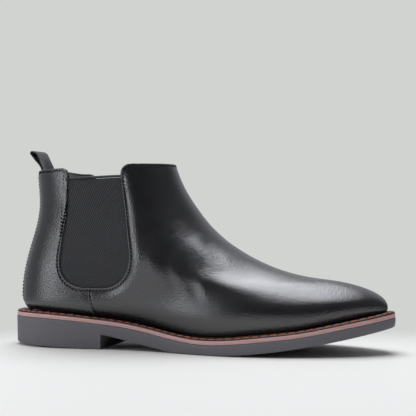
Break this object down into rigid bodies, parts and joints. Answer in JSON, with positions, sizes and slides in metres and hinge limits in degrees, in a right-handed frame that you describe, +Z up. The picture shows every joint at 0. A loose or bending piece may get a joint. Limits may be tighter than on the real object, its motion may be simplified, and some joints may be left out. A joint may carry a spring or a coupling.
{
  "type": "chelsea boot",
  "caption": "Low ankle boot for the right foot with a one-piece vamp, two elastic side gores, a pull loop, a stitched welt, a leather midsole and a rubber outsole with a low heel.",
  "frame": {"origin": "on the floor under the middle of the sole's length and width", "axes": "+X from heel to toe, -Y to the outer (lateral) side of this right boot, +Z up"},
  "size_m": [0.3086, 0.1059, 0.1569],
  "materials": {
    "black_leather": "smooth semi-gloss black calf leather",
    "elastic": "ribbed woven black elastic",
    "rubber": "matt dark grey moulded rubber with a fine pebble",
    "edge_leather": "burnished red-brown leather edge",
    "welt_leather": "dark waxed welt leather",
    "thread": "waxed orange-brown thread",
    "lining_leather": "unfinished grey lining leather",
    "fibreboard": "pressed cellulose board",
    "cork": "cork granulate",
    "steel": "plain rolled steel",
    "webbing": "woven black tape",
    "foam": "soft foam pad"
  },
  "bodies": {
    "boot": {"outsole": "rubber", "midsole": "edge_leather", "welt": "welt_leather", "welt_thread": "thread", "insole_board": "fibreboard", "cork_filler": "cork", "shank": "steel", "sock_liner": "lining_leather", "heel_pad": "foam", "vamp": "black_leather", "quarter_lateral": "black_leather", "quarter_medial": "black_leather", "back_strip": "black_leather", "gore_lateral": "elastic", "gore_medial": "elastic", "gore_binding_lateral": "webbing", "gore_binding_medial": "webbing", "vamp_lining": "lining_leather", "quarter_lining": "lining_leather", "toe_puff": "fibreboard", "heel_counter": "fibreboard", "pull_loop_anchor": "webbing", "heel_nail_1": "steel", "heel_nail_2": "steel", "heel_nail_3": "steel", "heel_nail_4": "steel", "heel_nail_5": "steel"},
    "pull_loop": {"pull_loop": "webbing"}
  },
  "joints": [
    {"name": "pull_loop_hinge", "type": "hinge", "parent": "boot", "child": "pull_loop", "pos_m": [-0.1326, 0, 0.1429], "axis": [0, 1, 0], "range_deg": [-40, 60], "stiffness_Nm_per_rad": 0.02}
  ]
}
